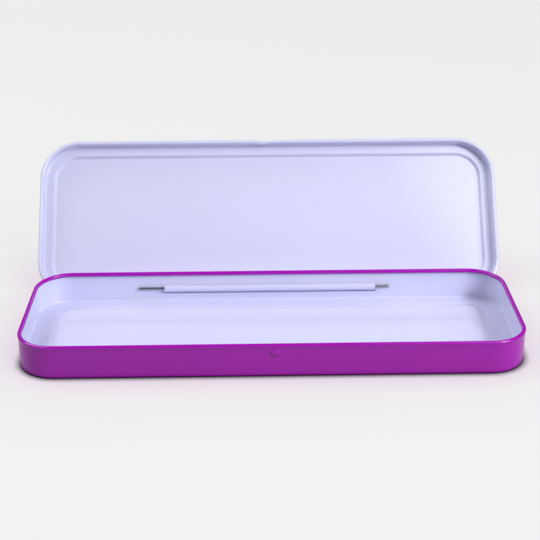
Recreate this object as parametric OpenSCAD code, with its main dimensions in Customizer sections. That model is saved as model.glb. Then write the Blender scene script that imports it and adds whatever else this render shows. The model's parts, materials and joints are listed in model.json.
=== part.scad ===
// Slim hinged pencil tin in tinplate: a drawn tray with a curled rim, a drawn lid that fits
// over it, and the steel wire that the lid turns on. Modelled with the lid open against its stop.

/* [Sheet] */
// Thickness of the tinplate
sheet = 0.3; // [0.2:0.05:0.35]
// Opening of every curled edge, as an angle
curl_gap = 40; // [20:5:60]

/* [Tray] */
// Length over the rim bead
tray_length = 190; // [150:1:240]
// Width, front to back, over the rim bead
tray_width = 65; // [50:1:90]
// Height from the table to the top of the rim bead
tray_height = 13.2; // [12:0.1:20]
// Radius of the upright corners, over the rim bead
corner_radius = 14.3; // [13:0.1:20]
// Diameter of the tray's rim bead
tray_bead = 1.7; // [1.5:0.1:2.2]
// How far the rim bead stands out of the wall
bead_proud = 0.2; // [0.1:0.05:0.3]
// Outer radius of the bend from wall to floor
floor_bend = 0.8; // [0.6:0.1:1.2]

/* [Tray floor] */
// Distance from the wall to the step round the floor panel
foot_ring = 7.7; // [6:0.1:8.4]
// Width of that step, seen from above
floor_step_run = 4; // [2.4:0.1:4.2]
// Rise of the floor panel over the foot ring
floor_rise = 1; // [0.5:0.1:1.4]

/* [Lid] */
// Gap between the tray's rim bead and the lid's skirt
lid_gap = 0.3; // [0.3:0.05:0.6]
// Gap between the top of the rim bead and the lid's ledge
ledge_gap = 0.2; // [0.15:0.05:0.5]
// Depth of the skirt, from the lid's edge up to the inside of its ledge
skirt_depth = 4.4; // [3.8:0.1:5]
// Diameter of the bead along the lid's edge
lid_bead = 1.7; // [1.4:0.1:1.9]
// Outer radius of the shoulder between skirt and ledge
shoulder_radius = 1.6; // [1.4:0.1:1.8]
// Width of the flat ledge
ledge_width = 1.7; // [0.8:0.1:2.4]
// Width of the step between ledge and panel, seen from above
lid_step_run = 2.1; // [1.4:0.1:3]
// Rise of the lid's panel over its ledge
lid_rise = 0.9; // [0.5:0.1:1.2]

/* [Hinge] */
// Angle between the closed lid and the open lid
open_angle = 128; // [118:1:132]
// Gap between the open lid's bead and the tray's back wall
stop_gap = 0.1; // [0.1:0.05:0.3]
// Diameter of the hinge wire
wire_diameter = 1.1; // [0.8:0.1:1.4]
// Gap between the hinge wire and the inside of the back wall
wire_seat_gap = 0.05; // [0.05:0.05:0.2]
// Length of the hinge wire left of the middle
wire_left = 54.3; // [50:0.1:62]
// Length of the hinge wire right of the middle
wire_right = 49.6; // [48:0.1:62]
// Gap between the closed lid's tongue and the outside of the back wall
tongue_gap = 0.1; // [0.1:0.05:0.3]
// Length of the barrel rolled from the lid's tongue
barrel_length = 87; // [60:1:92]
// Gap at each end of the barrel, and beside the tongue
barrel_end_gap = 0.5; // [0.3:0.1:1]
// Gap between the barrel and the edges of its slot
slot_gap = 0.26; // [0.2:0.02:0.5]

/* [Catch] */
// Height of the catch pip's middle above the table
pip_height = 10; // [9.2:0.1:10.4]
// Distance of the pip from the middle of the front wall
pip_offset = 0.6; // [-3:0.1:3]
// Width of the pip where it leaves the wall
pip_width = 3.4; // [2.4:0.1:3.6]
// How far the pip stands out of the wall
pip_proud = 0.35; // [0.2:0.05:0.4]
// Length of the pressed-in stretch of the lid's front bead
thumb_length = 34; // [20:1:44]
// Depth of that pressing at its middle
thumb_depth = 0.45; // [0.2:0.05:0.5]

/* [Hidden] */
$fn = 72;

tray_colour = [0.58, 0.15, 0.62];
lid_colour = [0.82, 0.83, 0.97];
wire_colour = [0.60, 0.60, 0.62];

// the tray's back wall, as distances from the middle of the tray
wall_outside = tray_width / 2 - bead_proud;
wall_inside = wall_outside - sheet;

// the closed lid, over its bead
lid_over_tray = lid_gap + lid_bead;
lid_length = tray_length + 2 * lid_over_tray;
lid_width = tray_width + 2 * lid_over_tray;
lid_corner = corner_radius + lid_over_tray;
ledge_inside = tray_height + ledge_gap;
lid_edge = ledge_inside - skirt_depth;
skirt_inside = tray_width / 2 + lid_gap;

// the hinge: its axis lies a wire's radius inside the back wall, and so far below the
// lid's edge that the bead of the opened lid comes to the back wall at open_angle
hinge_y = wall_inside - wire_seat_gap - wire_diameter / 2;
bead_out = skirt_inside - hinge_y + lid_bead / 2;
bead_clear = wall_outside - hinge_y + stop_gap + lid_bead / 2;
bead_up = (bead_clear - bead_out * cos(open_angle)) / sin(open_angle);
hinge_z = lid_edge + lid_bead / 2 - bead_up;

// the barrel's bore is as wide as brings the closed lid's tongue, which is tangent to it,
// down outside the wall
barrel_bore = wall_outside + tongue_gap - hinge_y;
barrel_radius = barrel_bore + sheet;

// the tongue leaves the skirt, steps in to the barrel's tangent and is rolled round it
skirt_offset = skirt_inside - hinge_y;
joggle_run = 0.8;
joggle_drop = 0.14;
joggle_top = bead_up - lid_bead / 2 - joggle_drop;
joggle_foot = joggle_top - joggle_run;
notch_top = lid_edge + lid_bead + sheet / 2;

// where the open tongue's underside passes the outside of the back wall
tongue_reach = (wall_outside - hinge_y - barrel_radius * cos(open_angle)) / sin(open_angle);
tongue_drop = barrel_radius * sin(open_angle) - tongue_reach * cos(open_angle);
slot_bottom = hinge_z - tongue_drop - slot_gap;
slot_top = hinge_z + sqrt(pow(barrel_radius, 2) - pow(wall_inside - hinge_y, 2)) + slot_gap;
slot_length = barrel_length + 2 * barrel_end_gap;

// the ball whose cap is the pip, and the roller that pressed the lid's front bead in
pip_ball = (pow(pip_width / 2, 2) + pow(pip_proud, 2)) / (2 * pip_proud);
thumb_roller = (pow(thumb_length / 2, 2) + pow(thumb_depth, 2)) / (2 * thumb_depth);

// Cuts a child down to the sector between two directions less than 180 degrees apart
module sector(from, to, reach) {
    middle = (from + to) / 2;
    intersection() {
        children();
        polygon([
            [0, 0],
            reach * [cos(from), sin(from)],
            2 * reach * [cos(middle), sin(middle)],
            reach * [cos(to), sin(to)]
        ]);
    }
}

// Cross-section of the sheet bent to a full turn, with its inside radius
module ring(inside) {
    difference() {
        circle(inside + sheet);
        circle(inside);
    }
}

// Cross-section of a bend in the sheet, with its inside radius and its two directions
module bend(inside, from, to) {
    sector(from, to, 2 * (inside + sheet)) ring(inside);
}

// Cross-section of an S-shaped step that rises from one flat to the next, from [0, 0] at
// the underside of the lower flat. The line through the centres of its two bends parts them.
module step(run, rise) {
    radius = (pow(run, 2) + pow(rise, 2)) / (4 * rise);
    foot_centre = [0, sheet / 2 + radius];
    head_centre = [run, sheet / 2 + rise - radius];
    intersection() {
        translate(foot_centre) ring(radius - sheet / 2);
        polygon([foot_centre, [0, -radius], [run, -radius], head_centre]);
    }
    intersection() {
        translate(head_centre) ring(radius - sheet / 2);
        polygon([head_centre, [run, rise + radius], [0, rise + radius], foot_centre]);
    }
}

// Cross-section of an edge curled into a bead, open over curl_gap from one direction on
module curl(diameter, gap_from) {
    bore = diameter / 2 - sheet;
    difference() {
        circle(diameter / 2);
        circle(bore);
        sector(gap_from, gap_from + curl_gap, diameter) square(2 * diameter, center = true);
    }
}

// Carries a cross-section once round a rectangle with rounded corners, and fills the middle.
// The section's x runs inwards from the outline to the corner's centre, and its y is height.
module drawn(length, width, radius, middle_height) {
    reach = 2 * radius;
    for (side = [0:3]) {
        along = (side % 2 == 0 ? length : width) / 2 - radius;
        across = (side % 2 == 0 ? width : length) / 2;
        rotate([0, 0, 90 * side]) {
            translate([-along, -across, 0])
                rotate([90, 0, 90]) linear_extrude(2 * along) children();
            translate([along, radius - across, 0])
                rotate([0, 0, -90])
                    rotate_extrude(angle = 90)
                        // the axis itself bounds the section
                        intersection() {
                            translate([radius, 0]) mirror([1, 0]) children();
                            translate([0, -reach]) square([reach, 2 * reach]);
                        }
        }
    }
    translate([radius - length / 2, radius - width / 2, middle_height])
        cube([length - 2 * radius, width - 2 * radius, sheet]);
}

// Cross-section of the tray: rim bead curled inwards, wall, floor bend, foot ring, step, panel
module tray_section() {
    bead_centre = [tray_bead / 2, tray_height - tray_bead / 2];
    step_foot = bead_proud + foot_ring;
    step_end = step_foot + floor_step_run;
    difference() {
        union() {
            translate(bead_centre) curl(tray_bead, 250);
            translate([bead_proud, floor_bend]) square([sheet, bead_centre[1] - floor_bend]);
        }
        translate(bead_centre) circle(tray_bead / 2 - sheet);
    }
    translate([bead_proud + floor_bend, floor_bend]) bend(floor_bend - sheet, 180, 270);
    translate([bead_proud + floor_bend, 0]) square([foot_ring - floor_bend, sheet]);
    translate([step_foot, 0]) step(floor_step_run, floor_rise);
    translate([step_end, floor_rise]) square([corner_radius - step_end, sheet]);
}

// Cross-section of the closed lid: bead curled outwards, skirt, shoulder, ledge, step, panel
module lid_section() {
    bead_centre = [lid_bead / 2, lid_edge + lid_bead / 2];
    skirt_outside = lid_bead - sheet;
    ledge_start = skirt_outside + shoulder_radius;
    ledge_end = ledge_start + ledge_width;
    step_end = ledge_end + lid_step_run;
    shoulder_foot = ledge_inside + sheet - shoulder_radius;
    difference() {
        union() {
            translate(bead_centre) curl(lid_bead, 60);
            translate([skirt_outside, bead_centre[1]]) square([sheet, shoulder_foot - bead_centre[1]]);
        }
        translate(bead_centre) circle(lid_bead / 2 - sheet);
    }
    translate([ledge_start, shoulder_foot]) bend(shoulder_radius - sheet, 90, 180);
    translate([ledge_start, ledge_inside]) square([ledge_width, sheet]);
    translate([ledge_end, ledge_inside]) step(lid_step_run, lid_rise);
    translate([step_end, ledge_inside + lid_rise]) square([lid_corner - step_end, sheet]);
}

// Cross-section of the closed lid's tongue and barrel, with the hinge axis at [0, 0]
module tongue_section() {
    tangent = barrel_radius - sheet;
    difference() {
        circle(barrel_radius);
        circle(barrel_bore);
        sector(10, 10 + curl_gap, 3 * barrel_radius) square(6 * barrel_radius, center = true);
    }
    translate([tangent, 0]) square([sheet, joggle_foot]);
    polygon([
        [tangent, joggle_foot],
        [tangent + sheet, joggle_foot],
        [skirt_offset + sheet, joggle_top],
        [skirt_offset, joggle_top]
    ]);
    translate([skirt_offset, joggle_top])
        square([sheet, notch_top - hinge_z - joggle_top]);
}

// The ball of the pip, on the front wall
module pip(radius) {
    translate([pip_offset, pip_ball - pip_proud - wall_outside, pip_height]) sphere(radius);
}

module base_tray() {
    color(tray_colour)
        difference() {
            union() {
                drawn(tray_length, tray_width, corner_radius, floor_rise) tray_section();
                intersection() {
                    pip(pip_ball);
                    translate([pip_offset - pip_width, -wall_outside - pip_width, pip_height - pip_width])
                        cube([2 * pip_width, pip_width + sheet / 2, 2 * pip_width]);
                }
            }
            // the hollow behind the pip
            pip(pip_ball - sheet);
            // the slot that the lid's tongue goes through
            translate([-slot_length / 2, wall_inside - sheet, slot_bottom])
                cube([slot_length, 3 * sheet, slot_top - slot_bottom]);
        }
}

module closed_lid() {
    front_bead = [0, lid_bead / 2 - lid_width / 2, lid_edge + lid_bead / 2];
    roller_y = thumb_depth - lid_width / 2 - thumb_roller;
    difference() {
        drawn(lid_length, lid_width, lid_corner, ledge_inside + lid_rise) lid_section();
        // the bead stops on either side of the tongue
        translate([-slot_length / 2, skirt_inside - sheet, lid_edge - sheet])
            cube([slot_length, 2 * lid_bead, notch_top - lid_edge + sheet]);
        // the stretch of bead that is pressed in
        translate([0, roller_y, lid_edge - sheet]) cylinder(r = thumb_roller, h = lid_bead + 2 * sheet);
    }
    intersection() {
        translate(front_bead - [thumb_length / 2, 0, 0]) rotate([0, 90, 0])
            cylinder(d = lid_bead, h = thumb_length);
        translate([0, roller_y, lid_edge - sheet])
            difference() {
                cylinder(r = thumb_roller + sheet, h = lid_bead + 2 * sheet);
                translate([0, 0, -sheet]) cylinder(r = thumb_roller, h = lid_bead + 4 * sheet);
            }
    }
    translate([-barrel_length / 2, hinge_y, hinge_z])
        rotate([90, 0, 90]) linear_extrude(barrel_length) tongue_section();
}

module lid() {
    color(lid_colour)
        translate([0, hinge_y, hinge_z]) rotate([-open_angle, 0, 0])
            translate([0, -hinge_y, -hinge_z]) closed_lid();
}

module hinge_wire() {
    color(wire_colour)
        translate([-wire_left, hinge_y, hinge_z]) rotate([0, 90, 0])
            cylinder(d = wire_diameter, h = wire_left + wire_right);
}

base_tray();
lid();
hinge_wire();
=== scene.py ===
"""Slim hinged pencil tin in enamelled tinplate, lying open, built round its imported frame.

Each drawn piece of sheet is two grids of points, its two faces. A grid's rows follow the cross-section
of the sheet, and its columns follow the rounded outline that the section is carried round.
"""

import json
import math

import bmesh
import bpy
import numpy as np
from bpy.props import FloatProperty, FloatVectorProperty, PointerProperty
from mathutils import Matrix, Vector


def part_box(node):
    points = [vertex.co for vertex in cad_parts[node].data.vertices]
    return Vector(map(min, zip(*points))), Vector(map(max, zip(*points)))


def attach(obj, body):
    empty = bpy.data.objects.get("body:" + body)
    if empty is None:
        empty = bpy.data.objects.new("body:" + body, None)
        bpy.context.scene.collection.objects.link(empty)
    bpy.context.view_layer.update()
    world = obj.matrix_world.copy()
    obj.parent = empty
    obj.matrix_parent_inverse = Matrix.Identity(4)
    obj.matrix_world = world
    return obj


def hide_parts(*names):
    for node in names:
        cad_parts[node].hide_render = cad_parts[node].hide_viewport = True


bl_info = {
    "name": "Hinged pencil tin",
    "version": (1, 0, 0),
    "blender": (4, 5, 0),
    "location": "3D View > Sidebar > Pencil tin",
    "description": "Makes a slim enamelled pencil tin with a curled rim, a wire hinge and an open lid",
    "category": "Add Mesh",
}

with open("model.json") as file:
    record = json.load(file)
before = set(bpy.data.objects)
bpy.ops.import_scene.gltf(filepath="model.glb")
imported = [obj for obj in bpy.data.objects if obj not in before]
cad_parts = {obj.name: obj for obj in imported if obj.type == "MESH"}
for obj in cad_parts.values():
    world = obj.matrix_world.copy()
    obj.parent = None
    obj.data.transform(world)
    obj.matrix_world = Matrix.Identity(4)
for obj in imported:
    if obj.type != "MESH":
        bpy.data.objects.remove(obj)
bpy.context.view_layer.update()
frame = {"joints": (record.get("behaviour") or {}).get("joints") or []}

MM = 0.001
TRAY_LOW, TRAY_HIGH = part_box("base_tray")
WIRE_LOW, WIRE_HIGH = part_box("hinge_wire")
HINGE = frame["joints"][0]
HINGE_Y, HINGE_Z = HINGE["pos_m"][1:]
OPEN_ANGLE = HINGE["range_deg"][1]

# the side of the square render, in pixels, that the camera's focal length is given for
RENDER_SIDE = 540
SENSOR_WIDTH = 36.0

# the margin that places are compared with, and the least part along Y of a direction towards the back
NEAR = 0.01 * MM
ALONG_Y = 0.999

# points closer than this are joined, and edges between faces stay sharp from this angle in degrees
WELD = 0.002 * MM
SHARP_ANGLE = 38.0

# the number of points along a short side of an outline. A long side has the middle, the stretches on
# both sides of it, each with its start, end and number of points, and the rest as far as the corner.
SIDE_POINTS = 12
MIDDLE, MIDDLE_POINTS = 3.0 * MM, 51
STRETCHES = ((MIDDLE, 8.0 * MM, 18), (8.0 * MM, 22.0 * MM, 14))
FAR, FAR_POINTS = 22.0 * MM, 20

# the first and last direction, in degrees, of the curled beads and of the rolled barrel
TRAY_CURL = (180.0, -112.0)
LID_CURL = (0.0, -262.0)
BARREL_ROLL = (0.0, -312.0)

# how far under the rim bead's middle the tray's wall starts to swell out
SWELL = 1.2 * MM

# the front wall is what lies within this depth from the tray's front
FRONT_DEPTH = 1.5 * MM

# the steep part of the pip's radius, at its foot, and the shares of foot, dome and flare in its height
PIP_STEEP = 0.24
FOOT_SHARE, DOME_SHARE, FLARE_SHARE = 0.55, 0.3, 0.15

# the crown of each panel: how far it goes past the outline's inner rectangle, along and across the
# tin, and its height
TRAY_CROWN = (-2.0 * MM, 1.0 * MM, 0.12 * MM)
LID_CROWN = (8.0 * MM, 8.0 * MM, 0.15 * MM)

# the pressing in the lid's front bead: the share of its depth that spreads over its whole length, and
# the part of the length that has the rest
WIDE_SHARE = 0.62
NARROW_PART = 0.34

# the height over the lid's edge where the pressing and its nib fade out, and how gently they do
PRESSING_TOP, PRESSING_FADE = 3.4 * MM, 2.2 * MM
NIB_TOP, NIB_FADE = 3.6 * MM, 1.6 * MM

# the length of the nib's left and right flank, and how far a front place lies before the tray's front
NIB_FLANKS = (4.2 * MM, 1.5 * MM)
FRONT_MARGIN = 0.2 * MM

# how far under the lid's edge the tongue's joggle starts, and its height
JOGGLE_DROP, JOGGLE_RUN = 0.14 * MM, 0.8 * MM

# the chamfer of the wire's ends, and how far from them the even part of the wire starts
WIRE_CHAMFER = 0.12 * MM
WIRE_END = 1.0 * MM

# each lamp's azimuth to the right and elevation in degrees, distance, size, and roll in degrees
LAMPS = {
    "key": (52.0, 48.6, 1.07, (0.70, 0.80), -10.5),
    "strip": (50.0, 33.5, 1.0, (0.30, 0.12), 0.0),
    "fill": (-55.0, 50.0, 1.0, (0.40, 0.30), 0.0),
    "side": (-85.0, 30.0, 1.0, (0.60, 0.45), 0.0),
    "spark": (58.0, 20.0, 1.0, (0.12, 0.12), 0.0),
    "behind": (-120.0, 50.0, 1.0, (0.40, 0.40), 0.0),
}

# the cells a metre of the enamel's clouding, orange peel, grain and specks, the values of the last
# noise between which a speck shows, and the depth that its bumps are worked out over
CLOUDING, ORANGE_PEEL, GRAIN, SPECKS = 22.0, 420.0, 2600.0, 900.0
SPECK_FROM, SPECK_TO = 0.86, 0.88
ENAMEL_RELIEF = 0.1 * MM

# the cells a metre of the lines on the wire, along it and across it, and the depth of their bumps
DRAWN_LINES = (30.0, 4000.0, 4000.0)
STEEL_RELIEF = 0.05 * MM

# the floor's half side, how far it lies under the foot, and its lightness under the lamps
FLOOR_REACH, FLOOR_DROP = 3.0, 0.05 * MM
FLOOR_LIGHTNESS = 0.42

# the reach and the colour of the painted shadow line under the tin, and of the faint veil round it: painted
# shade tinted with the tin's colour, standing in for the light that the tin throws on the floor
CONTACT_SHADOW_REACH, PAINTED_CONTACT_SHADOW = 3.2 * MM, (0.07, 0.04, 0.08, 1.0)
SHADE_AND_BOUNCE_REACH, PAINTED_SHADE_AND_BOUNCE = 45.0 * MM, (0.76, 0.63, 0.75, 1.0)
OCCLUSION_SAMPLES = 12


def length(name, description, default):
    """A size that a user may change, in metres, from its default in millimetres."""
    return FloatProperty(
        name=name, description=description, default=default * MM, min=0.0, precision=5, unit="LENGTH"
    )


def colour(name, description, default):
    """A colour that a user may change, as linear red, green and blue."""
    return FloatVectorProperty(
        name=name, description=description, default=default, size=3, min=0.0, max=1.0, subtype="COLOR"
    )


def power(name, description, default):
    """A lamp's power that a user may change, in watts."""
    return FloatProperty(name=name, description=description, default=default, min=0.0, unit="POWER")


def part(name, description, default):
    """A part of a whole that a user may change, from 0 to 1."""
    return FloatProperty(
        name=name, description=description, default=default, min=0.0, max=1.0, subtype="FACTOR"
    )


class TinSheetSettings(bpy.types.PropertyGroup):
    """What the tray and the lid have in common."""

    thickness: length("Sheet", "Thickness of the tinplate", 0.3)
    corner: length("Corner radius", "Radius of the tray's upright corners, over the bead", 14.3)
    purple: colour("Outside enamel", "Colour of the enamel outside", (0.40, 0.007, 0.46))
    lavender: colour("Inside enamel", "Colour of the enamel inside", (0.70, 0.715, 0.95))
    steel: colour("Bare steel", "Colour of the hinge wire", (0.42, 0.42, 0.44))


class TinTraySettings(bpy.types.PropertyGroup):
    """Sizes of the tray's pressed forms."""

    bead: length("Rim bead", "Diameter of the rim bead", 1.7)
    proud: length("Bead stands out", "How far the bead stands out of the wall", 0.2)
    floor_bend: length("Floor bend", "Outer radius of the bend from wall to floor", 0.8)
    foot_ring: length("Foot ring", "Distance from the wall to the step round the floor panel", 7.7)
    step_run: length("Step width", "Width of the step round the floor panel", 4.0)
    step_bend: length("Step bend", "Radius of the bends at the step's foot and head", 3.6)
    rise: length("Panel rise", "Rise of the floor panel over the foot ring", 1.0)
    pip_height: length("Pip height", "Height of the catch pip's middle", 10.0)
    pip_offset: length("Pip offset", "Distance of the pip from the middle of the front wall", 0.6)
    pip_core: length("Pip radius", "Radius of the pip's foot", 1.95)
    pip_reach: length("Pip reach", "Radius of the flare round the pip", 3.2)
    pip_proud: length("Pip stands out", "How far the pip stands out of the wall", 0.46)


class TinLidSettings(bpy.types.PropertyGroup):
    """Sizes of the lid's pressed forms."""

    gap: length("Lid gap", "Gap between the tray's bead and the lid's skirt", 0.3)
    ledge_gap: length("Ledge gap", "Gap between the tray's bead and the lid's ledge", 0.2)
    skirt: length("Skirt depth", "Depth of the skirt up to the inside of the ledge", 4.4)
    bead: length("Edge bead", "Diameter of the bead along the edge", 1.7)
    shoulder: length("Shoulder radius", "Outer radius between skirt and ledge", 1.0)
    ledge: length("Ledge width", "Width of the flat ledge", 2.85)
    step_run: length("Step width", "Width of the step between ledge and panel", 1.35)
    step_foot: length("Step foot", "Radius of the bend at the ledge", 0.25)
    step_head: length("Step head", "Radius of the bend at the panel", 0.6)
    rise: length("Panel rise", "Rise of the panel over the ledge", 1.15)
    thumb: length("Pressing length", "Length of the pressed-in stretch of the front bead", 34.0)
    thumb_depth: length("Pressing depth", "Depth of the pressed-in stretch", 0.55)
    nib_place: length("Nib offset", "Distance of the nib's crest to the left of the middle", 2.1)
    nib_depth: length("Nib depth", "How far the nib in the pressed stretch stands in from the skirt", 0.38)


class TinHingeSettings(bpy.types.PropertyGroup):
    """Sizes of the barrel rolled from the lid's tongue."""

    bore: length("Barrel bore", "Inside radius of the barrel", 1.0)
    barrel: length("Barrel length", "Length of the barrel", 87.0)
    end_gap: length("End gap", "Gap at each end of the barrel", 0.7)
    slot_below: length("Slot below", "Depth of the slot under the hinge axis", 2.46)
    slot_above: length("Slot above", "Height of the slot over the hinge axis", 1.41)


class TinStageSettings(bpy.types.PropertyGroup):
    """The camera's place and turn, the lamps and the backdrop."""

    camera: FloatVectorProperty(
        name="Camera", description="Place of the camera", default=(-0.00737, -0.41172, 0.21775), unit="LENGTH"
    )
    yaw: FloatProperty(name="Yaw", description="Turn to the right", default=0.0167, unit="ROTATION")
    pitch: FloatProperty(name="Pitch", description="Tilt down", default=0.4316, unit="ROTATION")
    roll: FloatProperty(name="Roll", description="Roll to the left", default=-0.0043, unit="ROTATION")
    focal: FloatProperty(name="Focal length", description="Focal length in pixels", default=1185.3)
    backdrop: colour("Backdrop", "Colour of the floor as it shows", (0.863, 0.863, 0.863))
    glow: FloatProperty(name="Glow", description="Strength of the backdrop as it shows", default=1.19)
    key: power("Key", "Power of the large box on the right", 4.85)
    strip: power("Strip", "Power of the flat box low on the right", 4.5)
    fill: power("Fill", "Power of the box in front on the left", 1.2)
    side: power("Side", "Power of the low box on the left", 1.8)
    spark: power("Spark", "Power of the small lamp in front", 1.2)
    behind: power("Behind", "Power of the box behind on the left", 3.6)
    share: part("Share", "Share of the glow in what the camera sees", 0.78)
    mirrored: part("Mirrored", "Share of the glow in reflections", 0.5)


# ---------------------------------------------------------------- shader maths


class Socket:
    """A node's output in an expression. An operator on it adds the Math node that works it out."""

    def __init__(self, finish, socket):
        self.finish = finish
        self.socket = socket

    def _maths(self, operation, first, second):
        return self.finish.add("ShaderNodeMath", {"operation": operation}, {0: first, 1: second})

    def __add__(self, other):
        return self._maths("ADD", self, other)

    def __mul__(self, other):
        return self._maths("MULTIPLY", self, other)

    __radd__ = __add__
    __rmul__ = __mul__


class Finish:
    """One material's nodes."""

    def __init__(self, name):
        self.material = bpy.data.materials.new(name)
        self.material.use_nodes = True
        self.tree = self.material.node_tree
        self.tree.nodes.clear()

    def add(self, kind, settings=None, inputs=None, output=0):
        """Adds a node of that kind with its settings and the values or links of its sockets."""
        node = self.tree.nodes.new(kind)
        for key, value in (settings or {}).items():
            if key == "stops":
                ramp = node.color_ramp
                for element, (place, shade) in zip(ramp.elements, value):
                    element.position = place
                    element.color = (shade, shade, shade, 1.0)
            else:
                setattr(node, key, value)
        for key, value in (inputs or {}).items():
            if isinstance(value, Socket):
                self.tree.links.new(value.socket, node.inputs[key])
            else:
                node.inputs[key].default_value = value
        return Socket(self, node.outputs[output])

    def place(self):
        """Object coordinates, in metres."""
        return self.add("ShaderNodeTexCoord", output="Object")

    def noise(self, place, scale, detail):
        """Noise between 0 and 1 with that many cells a metre."""
        inputs = {"Vector": place, "Scale": scale, "Detail": detail}
        return self.add("ShaderNodeTexNoise", inputs=inputs, output="Fac")

    def ramp(self, value, first, last):
        """0 up to the value first, 1 from the value last on."""
        return self.add("ShaderNodeValToRGB", {"stops": [(first, 0.0), (last, 1.0)]}, {"Fac": value})

    def blend(self, factor, first, second):
        """The first colour where the factor is 0, the second where it is 1."""
        node = self.tree.nodes.new("ShaderNodeMix")
        node.data_type = "RGBA"
        values = {"Factor": factor, "A": first, "B": second}
        for socket in node.inputs:
            if socket.name in values and socket.type in ("VALUE", "RGBA") and socket.enabled:
                value = values[socket.name]
                if isinstance(value, Socket):
                    self.tree.links.new(value.socket, socket)
                else:
                    socket.default_value = value
        return Socket(self, next(s for s in node.outputs if s.enabled))

    def occlusion(self, reach):
        """1 where nothing stands within reach, down to 0 where half of the sky or more is hidden."""
        inputs = {"Distance": reach}
        sky = self.add("ShaderNodeAmbientOcclusion", {"samples": OCCLUSION_SAMPLES}, inputs, output="AO")
        return self.ramp(sky, 0.5, 1.0)

    def bump(self, height, strength, distance):
        """A normal bent by that height."""
        inputs = {"Strength": strength, "Distance": distance, "Height": height}
        return self.add("ShaderNodeBump", inputs=inputs)

    def surface(self, shader):
        """Makes a shader the material's surface, and gives back the material."""
        output = self.tree.nodes.new("ShaderNodeOutputMaterial")
        self.tree.links.new(shader.socket, output.inputs["Surface"])
        return self.material


def rgba(shade, gain=1.0):
    """A colour of three values as four, made lighter or darker by the gain."""
    return [min(1.0, channel * gain) for channel in shade] + [1.0]


def enamel(name, shade, level, coat, wear_shade):
    """Stoved enamel on tinplate: slight clouding, orange peel, dust specks and a fine grain."""
    finish = Finish(name)
    place = finish.place()
    cloud = finish.noise(place, CLOUDING, 3.0)
    peel = finish.noise(place, ORANGE_PEEL, 1.0)
    grain = finish.noise(place, GRAIN, 2.0)
    specks = finish.ramp(finish.noise(place, SPECKS, 0.0), SPECK_FROM, SPECK_TO)
    body = finish.blend(cloud, rgba(shade, 0.98), rgba(shade, 1.02))
    body = finish.blend(specks * 0.2, body, rgba(wear_shade))
    height = peel * 0.7 + grain * 0.1
    shader = finish.add(
        "ShaderNodeBsdfPrincipled",
        inputs={
            "Base Color": body,
            "Roughness": cloud * 0.06 + 0.40,
            "Specular IOR Level": level,
            "Coat Weight": coat,
            "Coat Roughness": 0.12,
            "Normal": finish.bump(height, 0.05, ENAMEL_RELIEF),
        },
    )
    return finish.surface(shader)


def bare_steel(name, shade):
    """Drawn steel wire: fine lines along it, with darker patches."""
    finish = Finish(name)
    place = finish.place()
    along = finish.add("ShaderNodeMapping", inputs={"Vector": place, "Scale": DRAWN_LINES})
    lines = finish.noise(along, 1.0, 2.0)
    patches = finish.noise(place, 180.0, 3.0)
    shader = finish.add(
        "ShaderNodeBsdfPrincipled",
        inputs={
            "Base Color": finish.blend(patches, rgba(shade, 0.6), rgba(shade, 1.25)),
            "Metallic": 1.0,
            "Roughness": lines * 0.2 + 0.22,
            "Normal": finish.bump(lines, 0.2, STEEL_RELIEF),
        },
    )
    return finish.surface(shader)


# ---------------------------------------------------------------- sections of sheet


def straight(start, end, count):
    """Points on the straight line from start to end, without its end."""
    return np.linspace(start, end, count, endpoint=False)


def arc(centre, radius, first, last, count):
    """Points on the arc about the centre between two directions in degrees, without its end."""
    angle = np.radians(np.linspace(first, last, count, endpoint=False))
    return np.asarray(centre) + radius * np.stack([np.cos(angle), np.sin(angle)], 1)


def ess(start, end, bends, count):
    """Points from start to end, without the end, that leave and arrive level.

    The two bends are joined by a straight slope. Its length squared is that of the run and the rise
    less twice the sum of the bends' radii times the rise. Wide bends are held to where they leave a
    short slope.
    """
    run, rise = abs(end[0] - start[0]), abs(end[1] - start[1])
    reach = run * run + rise * rise
    both = min(sum(bends), 0.99 * reach / (2.0 * rise))
    slope = math.sqrt(reach - 2.0 * both * rise)
    turn = math.atan2(both, slope) - math.atan2(both - rise, run)
    angle = np.linspace(0.0, turn, count // 2)
    bend = np.stack([np.sin(angle), 1.0 - np.cos(angle)], 1) * both / sum(bends)
    last = np.array([run, rise]) - bends[1] * bend[::-1]
    whole = np.concatenate([bends[0] * bend, last[:-1]])
    return np.asarray(start) + whole * np.sign(np.subtract(end, start))


def ease(value):
    """0 below 0, 1 above 1, and 3v^2 - 2v^3 between them."""
    value = np.clip(value, 0.0, 1.0)
    return value * value * (3.0 - 2.0 * value)


def drift(start, end, count):
    """Points from start to end, without the end, even in height and eased sideways."""
    share = np.linspace(0.0, 1.0, count, endpoint=False)
    return np.stack([start[0] + (end[0] - start[0]) * ease(share), start[1] + (end[1] - start[1]) * share], 1)


def faces_of(section, thickness):
    """The two faces of a sheet, half its thickness to the left and to the right of its middle line.

    A point's direction is the mean of the directions of the stretches before and after it.
    """
    along = np.diff(section, axis=0)
    along /= np.linalg.norm(along, axis=1)[:, None]
    along = np.concatenate([along[:1], along[:-1] + along[1:], along[-1:]])
    along /= np.linalg.norm(along, axis=1)[:, None]
    left = np.stack([-along[:, 1], along[:, 0]], 1) * thickness / 2.0
    return section + left, section - left


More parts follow.
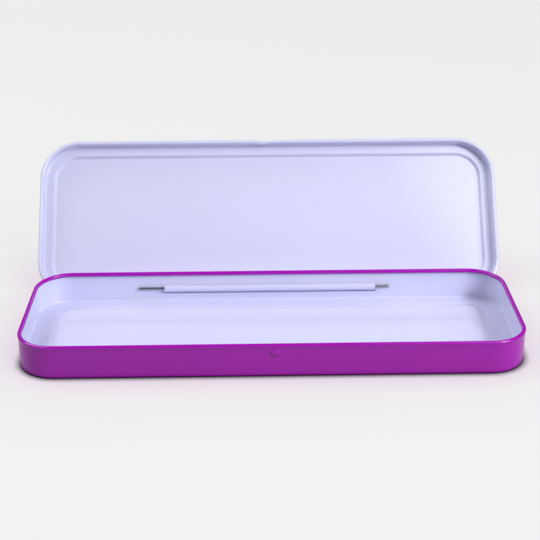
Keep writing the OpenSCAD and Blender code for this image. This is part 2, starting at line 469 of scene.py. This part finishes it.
def outline(half_long, half_wide, along, corner_count):
    """The rounded outline: its inner rectangle's points and the directions out of it, anticlockwise.

    The long sides are cut at the given stations along x, and a corner turns about its rectangle's corner.
    """
    up_x = along[:-1]
    down_x = along[:0:-1]
    up_y = np.linspace(-half_wide, half_wide, SIDE_POINTS, endpoint=False)
    turn = np.radians(np.linspace(0.0, 90.0, corner_count, endpoint=False))
    pieces = [
        (up_x, -half_wide, -90.0),
        (half_long, -half_wide, turn - math.pi / 2),
        (half_long, up_y, 0.0),
        (half_long, half_wide, turn),
        (down_x, half_wide, 90.0),
        (-half_long, half_wide, turn + math.pi / 2),
        (-half_long, -up_y, 180.0),
        (-half_long, -half_wide, turn + math.pi),
    ]
    points, directions = [], []
    for x, y, angle in pieces:
        angle = np.radians(angle) if np.isscalar(angle) else angle
        x, y, angle = np.broadcast_arrays(x, y, angle)
        points.append(np.stack([x, y], 1))
        directions.append(np.stack([np.cos(angle), np.sin(angle)], 1))
    return np.concatenate(points), np.concatenate(directions)


def carried(face, points, directions, radius, half_long, half_wide):
    """A face carried round the outline, as a grid of places.

    A section point lies its inset in from the outline. Past the corner's centre the inner rectangle
    shrinks towards the middle line.
    """
    inset, height = face[:, 0], face[:, 1]
    past = np.maximum(inset - radius, 0.0)
    shrink = np.stack([1.0 - past / half_long, 1.0 - past / half_wide], 1)
    flat = points[None] * shrink[:, None] + directions[None] * np.maximum(radius - inset, 0.0)[:, None, None]
    grid = np.empty(flat.shape[:2] + (3,))
    grid[..., :2] = flat
    grid[..., 2] = height[:, None]
    return grid


def over_slot(points, directions, half_wide, slot_end):
    """Which columns of the outline start a cell that lies over the hinge slot in the back wall."""
    x, y = points.T
    back = (y > half_wide - NEAR) & (directions[:, 1] > ALONG_Y)
    return back & (x <= slot_end + NEAR) & (x > -slot_end + NEAR)


def sheet_mesh(name, inside, outside, kept, closed):
    """A mesh of both faces of a sheet, with a strip along each edge where the sheet ends.

    kept says which cells of the grids are sheet. A closed sheet goes all the way round, and its first
    row lies in its panel's middle. Material 0 is inside, 1 outside and 2 the cut edges.
    """
    rows, columns = inside.shape[:2]
    front = np.arange(rows * columns).reshape(rows, columns)
    if closed:
        front = np.concatenate([front, front[:, :1]], 1)
    back = front + rows * columns
    edge_before = kept[:1] if closed else np.zeros_like(kept[:1])
    padded = np.concatenate([edge_before, kept, np.zeros_like(kept[:1])])
    row_edge = padded[:-1] != padded[1:]
    if closed:
        column_edge = kept != np.roll(kept, 1, axis=1)
        column_edge = np.concatenate([column_edge, np.zeros_like(column_edge[:, :1])], 1)
    else:
        blank = np.zeros_like(kept[:, :1])
        wide = np.concatenate([blank, kept, blank], 1)
        column_edge = wide[:, :-1] != wide[:, 1:]

    def quads(a, b, c, d, chosen):
        """The faces whose corners are those four grids' numbers, where they are chosen."""
        return np.stack([a, b, c, d], -1)[chosen]

    inner = quads(front[:-1, :-1], front[1:, :-1], front[1:, 1:], front[:-1, 1:], kept)
    outer = quads(back[:-1, :-1], back[:-1, 1:], back[1:, 1:], back[1:, :-1], kept)
    across = quads(front[:, :-1], front[:, 1:], back[:, 1:], back[:, :-1], row_edge)
    down = quads(front[:-1], front[1:], back[1:], back[:-1], column_edge)
    faces = np.concatenate([inner, outer, across, down])
    slots = np.repeat([0, 1, 2, 2], [len(inner), len(outer), len(across), len(down)])
    vertices = np.concatenate([inside.reshape(-1, 3), outside.reshape(-1, 3)])
    mesh = bpy.data.meshes.new(name)
    mesh.from_pydata(vertices.tolist(), [], faces.tolist())
    mesh.polygons.foreach_set("material_index", slots.astype(np.int32))
    return mesh


def piece(name, mesh, finishes, body, nodes):
    """A finished piece from its mesh: doubles merged, faces turned outwards, smooth but for its edges."""
    work = bmesh.new()
    work.from_mesh(mesh)
    bmesh.ops.remove_doubles(work, verts=work.verts, dist=WELD)
    loose = [vertex for vertex in work.verts if not vertex.link_faces]
    bmesh.ops.delete(work, geom=loose, context="VERTS")
    bmesh.ops.recalc_face_normals(work, faces=work.faces)
    work.to_mesh(mesh)
    work.free()
    mesh.shade_smooth()
    mesh.set_sharp_from_angle(angle=math.radians(SHARP_ANGLE))
    for finish in finishes:
        mesh.materials.append(finish)
    made = bpy.data.objects.new(name, mesh)
    bpy.context.scene.collection.objects.link(made)
    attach(made, body)
    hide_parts(*nodes)
    return made


def stations(half_long, marks):
    """Places along a long side: the marks, close together near the middle and wide apart at the ends."""
    middle = np.linspace(-MIDDLE, MIDDLE, MIDDLE_POINTS)
    stretches = [np.linspace(*stretch)[1:] for stretch in (*STRETCHES, (FAR, half_long, FAR_POINTS))]
    right = np.unique(np.concatenate([*stretches, [mark for mark in marks if mark < half_long]]))
    return np.concatenate([-right[::-1], middle, right])


def crown(grid, half_long, half_wide, form):
    """Adds a low dome over the middle of a panel: its height times the square of two parabolas' product."""
    half_x, half_y, height = half_long + form[0], half_wide + form[1], form[2]
    share = np.clip(1.0 - (grid[..., 0] / half_x) ** 2, 0.0, 1.0)
    share = share * np.clip(1.0 - (grid[..., 1] / half_y) ** 2, 0.0, 1.0)
    grid[..., 2] += height * share**2


def opened(grid):
    """Places of the closed lid turned about the hinge to where it stands open."""
    turn = math.radians(OPEN_ANGLE)
    y, z = grid[..., 1] - HINGE_Y, grid[..., 2] - HINGE_Z
    result = grid.copy()
    result[..., 1] = HINGE_Y + y * math.cos(turn) + z * math.sin(turn)
    result[..., 2] = HINGE_Z - y * math.sin(turn) + z * math.cos(turn)
    return result


# ---------------------------------------------------------------- the pieces


def shared_finishes(sheet):
    """The three finishes of a piece of sheet: inside, outside and cut edge."""
    names = ("inside_enamel", "outside_enamel", "cut_edge")
    found = [bpy.data.materials.get(name) for name in names]
    if all(found):
        return found
    return [
        enamel(names[0], sheet.lavender, 0.1, 1.0, (0.25, 0.24, 0.3)),
        enamel(names[1], sheet.purple, 0.05, 0.8, (0.7, 0.35, 0.75)),
        enamel(names[2], [0.5 * c for c in sheet.lavender], 0.4, 0.2, (0.3, 0.3, 0.3)),
    ]


class TIN_OT_tray(bpy.types.Operator):
    """Make the drawn tray with its curled rim, floor panel, hinge slot and catch pip"""

    bl_idname = "tin.tray"
    bl_label = "Tray"

    def execute(self, context):
        sheet, tray, hinge = (getattr(context.scene, n) for n in ("tin_sheet", "tin_tray", "tin_hinge"))
        half_long = TRAY_HIGH.x - sheet.corner
        half_wide = TRAY_HIGH.y - sheet.corner
        top = TRAY_HIGH.z
        half_sheet = sheet.thickness / 2.0
        step_foot = tray.proud + tray.foot_ring
        step_end = step_foot + tray.step_run
        wall = tray.proud + half_sheet
        bend_middle = tray.proud + tray.floor_bend
        bead_middle = top - tray.bead / 2.0
        bead_radius = tray.bead / 2.0 - half_sheet
        flare = bead_middle - SWELL
        slot_bottom, slot_top = HINGE_Z - hinge.slot_below, HINGE_Z + hinge.slot_above
        panel = tray.rise + half_sheet

        def upright(low, high, count):
            """Points up the wall."""
            return straight((wall, low), (wall, high), count)

        # the sheet's middle line, as inset and height, from the panel's middle to the end of the curl
        section = np.concatenate(
            [
                straight((sheet.corner + half_wide, panel), (sheet.corner, panel), 5),
                straight((sheet.corner, panel), (step_end, panel), 2),
                ess((step_end, panel), (step_foot, half_sheet), (tray.step_bend, tray.step_bend), 14),
                straight((step_foot, half_sheet), (bend_middle, half_sheet), 5),
                arc((bend_middle, tray.floor_bend), tray.floor_bend - half_sheet, 270.0, 180.0, 8),
                upright(tray.floor_bend, slot_bottom, 3),
                upright(slot_bottom, slot_top, 5),
                upright(slot_top, flare, 22),
                drift((wall, flare), (half_sheet, bead_middle), 8),
                arc((tray.bead / 2.0, bead_middle), bead_radius, *TRAY_CURL, 30),
            ]
        )
        inside, outside = faces_of(section, -sheet.thickness)
        slot_end = hinge.barrel / 2.0 + hinge.end_gap
        along = stations(half_long, [slot_end])
        points, directions = outline(half_long, half_wide, along, 16)
        args = (points, directions, sheet.corner, half_long, half_wide)
        faces = [carried(face, *args) for face in (inside, outside)]
        for grid in faces:
            crown(grid, half_long, half_wide, TRAY_CROWN)
            self.press_pip(grid, tray)
        inset, height = section[:-1].T
        slot_rows = (inset < wall + NEAR) & (height > slot_bottom - NEAR) & (height < slot_top - NEAR)
        kept = ~(slot_rows[:, None] & over_slot(points, directions, half_wide, slot_end)[None])
        mesh = sheet_mesh("tray_shell", *faces, kept, True)
        piece("tray_shell", mesh, shared_finishes(sheet), "tray", ["base_tray"])
        return {"FINISHED"}

    @staticmethod
    def press_pip(grid, tray):
        """Presses the pip out of the front wall: a dome on a steep foot, with a soft flare round it.

        The foot is a smooth step in the outer part of the pip's radius. The dome is 1 less the square of
        the distance over that radius, and the flare is a smooth step over the pip's whole reach.
        """
        away = np.hypot(grid[..., 0] - tray.pip_offset, grid[..., 2] - tray.pip_height)
        front = grid[..., 1] < TRAY_LOW.y + FRONT_DEPTH
        foot = ease((tray.pip_core - away) / (PIP_STEEP * tray.pip_core))
        dome = np.clip(1.0 - (away / tray.pip_core) ** 2, 0.0, 1.0)
        flare = ease(1.0 - away / tray.pip_reach)
        height = FOOT_SHARE * foot + DOME_SHARE * dome + FLARE_SHARE * flare
        grid[..., 1] -= np.where(front, tray.pip_proud * height, 0.0)


class TIN_OT_lid(bpy.types.Operator):
    """Make the drawn lid with its skirt, shoulder, raised panel, curled bead and rolled hinge barrel"""

    bl_idname = "tin.lid"
    bl_label = "Lid"

    def execute(self, context):
        sheet, lid, hinge = (getattr(context.scene, n) for n in ("tin_sheet", "tin_lid", "tin_hinge"))
        corner = sheet.corner + (lid.gap + lid.bead)
        half_long = TRAY_HIGH.x - sheet.corner
        half_wide = TRAY_HIGH.y - sheet.corner
        half_sheet = sheet.thickness / 2.0
        ledge_height = TRAY_HIGH.z + lid.ledge_gap + half_sheet
        edge = TRAY_HIGH.z + lid.ledge_gap - lid.skirt
        panel = ledge_height + lid.rise
        skirt = lid.bead - half_sheet
        ledge_start = lid.bead - sheet.thickness + lid.shoulder
        ledge_end = ledge_start + lid.ledge
        step_end = ledge_end + lid.step_run
        shoulder_foot = ledge_height + half_sheet - lid.shoulder
        bead_middle = edge + lid.bead / 2.0
        notch_top = edge + lid.bead + half_sheet

        # the sheet's middle line, as inset and height, from the panel's middle to the end of the curl
        section = np.concatenate(
            [
                straight((corner + half_wide, panel), (corner, panel), 5),
                straight((corner, panel), (step_end, panel), 4),
                ess((step_end, panel), (ledge_end, ledge_height), (lid.step_head, lid.step_foot), 18),
                straight((ledge_end, ledge_height), (ledge_start, ledge_height), 4),
                arc((ledge_start, shoulder_foot), lid.shoulder - half_sheet, 90.0, 180.0, 12),
                straight((skirt, shoulder_foot), (skirt, notch_top), 4),
                straight((skirt, notch_top), (skirt, bead_middle), 4),
                arc((lid.bead / 2.0, bead_middle), lid.bead / 2.0 - half_sheet, *LID_CURL, 30),
            ]
        )
        outside, inside = faces_of(section, -sheet.thickness)
        slot_end = hinge.barrel / 2.0 + hinge.end_gap
        along = stations(half_long, [slot_end])
        points, directions = outline(half_long, half_wide, along, 18)
        args = (points, directions, corner, half_long, half_wide)
        faces = [carried(face, *args) for face in (inside, outside)]
        for grid in faces:
            crown(grid, half_long, half_wide, LID_CROWN)
            self.press_thumb(grid, lid, edge)
        notch_rows = section[:-1, 1] < notch_top + NEAR
        kept = ~(notch_rows[:, None] & over_slot(points, directions, half_wide, slot_end)[None])
        mesh = sheet_mesh("lid_shell", *(opened(grid) for grid in faces), kept, True)
        finishes = shared_finishes(sheet)
        piece("lid_shell", mesh, finishes, "lid", ["lid"])
        self.roll_tongue(sheet, lid, hinge, edge, notch_top, finishes)
        return {"FINISHED"}

    @staticmethod
    def press_thumb(grid, lid, edge):
        """Presses the front bead in, most at its middle and least on its inner side, with a nib in it.

        The depth is a wide and a narrow smooth hump along the bead, times a smooth fade up the skirt,
        times how far out on the bead a place lies. The nib counts where it is the deeper of the two. Its
        crest lies beside the pip, and its flank towards the pip is the steeper one.
        """
        x, z = grid[..., 0], grid[..., 2]
        across = np.abs(x) / (lid.thumb / 2.0)
        along = WIDE_SHARE * ease(1.0 - across) + (1.0 - WIDE_SHARE) * ease(1.0 - across / NARROW_PART)
        up = ease((edge + PRESSING_TOP - z) / PRESSING_FADE)
        front = grid[..., 1] < -TRAY_HIGH.y - FRONT_MARGIN
        outer = (-grid[..., 1] - TRAY_HIGH.y - lid.gap) / lid.bead
        amount = lid.thumb_depth * along * up * np.clip(outer, 0.0, 1.0)
        beside = x + lid.nib_place
        nib = ease(1.0 - np.where(beside < 0.0, -beside / NIB_FLANKS[0], beside / NIB_FLANKS[1]))
        amount = np.maximum(amount, lid.nib_depth * nib * ease((edge + NIB_TOP - z) / NIB_FADE))
        grid[..., 1] += np.where(front, amount, 0.0)

    @staticmethod
    def roll_tongue(sheet, lid, hinge, edge, notch_top, finishes):
        """Rolls the tongue: down from the skirt, in by a joggle and once round the hinge axis."""
        half_sheet = sheet.thickness / 2.0
        skirt = TRAY_HIGH.y + lid.gap + half_sheet - HINGE_Y
        tangent = hinge.bore + half_sheet
        top = notch_top - HINGE_Z
        joggle_top = edge - HINGE_Z - JOGGLE_DROP
        joggle_foot = joggle_top - JOGGLE_RUN

        # the sheet's middle line, as seen along the hinge axis and measured from it
        section = np.concatenate(
            [
                straight((skirt, top), (skirt, joggle_top), 3),
                drift((skirt, joggle_top), (tangent, joggle_foot), 8),
                straight((tangent, joggle_foot), (tangent, 0.0), 3),
                arc((0.0, 0.0), tangent, *BARREL_ROLL, 44),
            ]
        )
        along = np.linspace(-hinge.barrel / 2.0, hinge.barrel / 2.0, 60)
        faces = []
        for face in faces_of(section, sheet.thickness):
            grid = np.empty((len(face), len(along), 3))
            grid[..., 0] = along[None]
            grid[..., 1] = HINGE_Y + face[:, :1]
            grid[..., 2] = HINGE_Z + face[:, 1:]
            faces.append(opened(grid))
        kept = np.ones((len(section) - 1, len(along) - 1), bool)
        mesh = sheet_mesh("lid_tongue", faces[1], faces[0], kept, False)
        lavender = finishes[0]
        piece("lid_tongue", mesh, [lavender, lavender, finishes[2]], "lid", ["lid"])


class TIN_OT_wire(bpy.types.Operator):
    """Make the hinge wire with its cropped ends"""

    bl_idname = "tin.wire"
    bl_label = "Hinge wire"

    def execute(self, context):
        # rings about the hinge axis, as wide as the wire but for its chamfered ends
        radius = (WIRE_HIGH.z - WIRE_LOW.z) / 2.0
        chamfer = WIRE_CHAMFER
        around = np.linspace(0.0, 2.0 * math.pi, 33)[:-1]
        inner = np.linspace(WIRE_LOW.x + WIRE_END, WIRE_HIGH.x - WIRE_END, 40)
        x = np.concatenate(
            [
                [WIRE_LOW.x, WIRE_LOW.x, WIRE_LOW.x + chamfer / 3.0, WIRE_LOW.x + chamfer],
                inner,
                [WIRE_HIGH.x - chamfer, WIRE_HIGH.x - chamfer / 3.0, WIRE_HIGH.x, WIRE_HIGH.x],
            ]
        )
        start = np.array([0.0, radius - chamfer, radius - chamfer / 3.0, radius])
        size = np.concatenate([start, np.full(len(inner), radius), start[::-1]])
        grid = np.empty((len(x), len(around), 3))
        grid[..., 0] = x[:, None]
        grid[..., 1] = HINGE_Y + size[:, None] * np.cos(around)
        grid[..., 2] = HINGE_Z + size[:, None] * np.sin(around)
        index = np.arange(grid[..., 0].size).reshape(grid.shape[:2])
        after = np.roll(index, -1, axis=1)
        quads = np.stack([index[:-1], index[1:], after[1:], after[:-1]], -1).reshape(-1, 4)
        mesh = bpy.data.meshes.new("wire")
        mesh.from_pydata(grid.reshape(-1, 3).tolist(), [], quads.tolist())
        finish = bare_steel("drawn_wire", context.scene.tin_sheet.steel)
        piece("wire", mesh, [finish], "tray", ["hinge_wire"])
        return {"FINISHED"}


class TIN_OT_stage(bpy.types.Operator):
    """Make the floor, the lamps, the world and the camera"""

    bl_idname = "tin.stage"
    bl_label = "Stage"

    def execute(self, context):
        stage = context.scene.tin_stage
        self.add_floor(stage)
        for name, place in LAMPS.items():
            self.add_lamp(name, getattr(stage, name), *place)
        self.add_world(context, stage)
        self.add_camera(context, stage)
        context.scene.view_settings.view_transform = "Standard"
        return {"FINISHED"}

    @staticmethod
    def add_world(context, stage):
        """A world of the backdrop's colour that lights nothing and only the camera sees."""
        world = bpy.data.worlds.new("studio")
        world.use_nodes = True
        context.scene.world = world
        background = world.node_tree.nodes["Background"]
        background.inputs["Color"].default_value = rgba(stage.backdrop)
        background.inputs["Strength"].default_value = stage.glow * stage.share
        for kind in ("diffuse", "glossy", "transmission", "scatter"):
            setattr(world.cycles_visibility, kind, False)

    @staticmethod
    def add_floor(stage):
        """A wide floor that shows the backdrop's colour and part of the tin's shadow.

        A painted shadow, a dark line, lies where the tin stands. Round it lies a faint veil of the tin's
        colour, which is painted shade tinted by the light that the tin throws back on the floor.
        """
        mesh = bpy.data.meshes.new("floor")
        corners = ((-1, -1), (1, -1), (1, 1), (-1, 1))
        vertices = [(x * FLOOR_REACH, y * FLOOR_REACH, -FLOOR_DROP) for x, y in corners]
        mesh.from_pydata(vertices, [], [(0, 1, 2, 3)])
        finish = Finish("floor")
        rays = [finish.add("ShaderNodeLightPath", output=name) for name in ("Is Camera Ray", "Is Glossy Ray")]
        # painted shadow: where other things hide the sky, the floor's colour turns to the dark line's colour
        # and less of the glow shows
        clear = finish.occlusion(CONTACT_SHADOW_REACH)
        shows = (rays[0] * stage.share + rays[1] * stage.mirrored) * clear
        shade = finish.blend(clear, PAINTED_CONTACT_SHADOW, rgba(stage.backdrop, FLOOR_LIGHTNESS))
        lit = finish.add("ShaderNodeBsdfDiffuse", inputs={"Color": shade})
        # painted shade and reflected colour: near the tin, the glow takes on the tin's colour
        seen = finish.blend(finish.occlusion(SHADE_AND_BOUNCE_REACH), PAINTED_SHADE_AND_BOUNCE, rgba(stage.backdrop))
        glow = finish.add("ShaderNodeEmission", inputs={"Color": seen, "Strength": stage.glow})
        mixed = finish.add("ShaderNodeMixShader", inputs={0: shows, 1: lit, 2: glow})
        mesh.materials.append(finish.surface(mixed))
        floor = bpy.data.objects.new("floor", mesh)
        bpy.context.scene.collection.objects.link(floor)

    @staticmethod
    def add_lamp(name, power, azimuth, elevation, distance, size, roll):
        """A soft box that faces the tin from that azimuth to the right, elevation and distance."""
        azimuth, elevation = math.radians(azimuth), math.radians(elevation)
        level = math.cos(elevation)
        away = Vector((math.sin(azimuth) * level, -math.cos(azimuth) * level, math.sin(elevation)))
        across = Vector((0.0, 0.0, 1.0)).cross(away).normalized()
        upward = away.cross(across)
        turn = Matrix((across, upward, away)).transposed() @ Matrix.Rotation(math.radians(roll), 3, "Z")
        lamp = bpy.data.lights.new(name, "AREA")
        lamp.shape = "RECTANGLE"
        lamp.size, lamp.size_y = size
        lamp.energy = power
        made = bpy.data.objects.new(name, lamp)
        made.matrix_world = Matrix.Translation(away * distance) @ turn.to_4x4()
        bpy.context.scene.collection.objects.link(made)

    @staticmethod
    def add_camera(context, stage):
        """A camera turned by yaw, tilted down by pitch and rolled."""
        yaw, pitch, roll = stage.yaw, stage.pitch, stage.roll
        ahead = Vector((math.sin(yaw) * math.cos(pitch), math.cos(yaw) * math.cos(pitch), -math.sin(pitch)))
        level = Vector((math.cos(yaw), -math.sin(yaw), 0.0))
        upward = level.cross(ahead)
        right = level * math.cos(roll) + upward * math.sin(roll)
        up = upward * math.cos(roll) - level * math.sin(roll)
        turn = Matrix((right, up, -ahead)).transposed().to_4x4()
        data = bpy.data.cameras.new("camera")
        data.sensor_width = SENSOR_WIDTH
        data.lens = stage.focal / RENDER_SIDE * SENSOR_WIDTH
        data.clip_start = 0.01
        camera = bpy.data.objects.new("camera", data)
        camera.matrix_world = Matrix.Translation(Vector(stage.camera)) @ turn
        context.scene.collection.objects.link(camera)
        context.scene.camera = camera


class TIN_PT_panel(bpy.types.Panel):
    """Lists the pieces of the tin and their sizes"""

    bl_label = "Pencil tin"
    bl_idname = "TIN_PT_panel"
    bl_space_type = "VIEW_3D"
    bl_region_type = "UI"
    bl_category = "Pencil tin"

    def draw(self, context):
        layout = self.layout
        for operator in OPERATORS:
            layout.operator(operator.bl_idname)
        for attribute, group in SETTINGS.items():
            box = layout.box()
            for name in group.__annotations__:
                box.prop(getattr(context.scene, attribute), name)


SETTINGS = {
    "tin_sheet": TinSheetSettings,
    "tin_tray": TinTraySettings,
    "tin_lid": TinLidSettings,
    "tin_hinge": TinHingeSettings,
    "tin_stage": TinStageSettings,
}
OPERATORS = (TIN_OT_tray, TIN_OT_lid, TIN_OT_wire, TIN_OT_stage)


def register():
    """Registers the classes and hangs the settings on the scene."""
    for cls in (*SETTINGS.values(), *OPERATORS, TIN_PT_panel):
        bpy.utils.register_class(cls)
    for attribute, group in SETTINGS.items():
        setattr(bpy.types.Scene, attribute, PointerProperty(type=group))


def unregister():
    """Takes the settings off the scene and unregisters the classes."""
    for attribute in SETTINGS:
        delattr(bpy.types.Scene, attribute)
    for cls in (TIN_PT_panel, *OPERATORS, *SETTINGS.values()):
        bpy.utils.unregister_class(cls)


def main():
    """Makes every piece and the stage."""
    register()
    bpy.ops.tin.tray()
    bpy.ops.tin.lid()
    bpy.ops.tin.wire()
    bpy.ops.tin.stage()


if __name__ == "__main__":
    main()
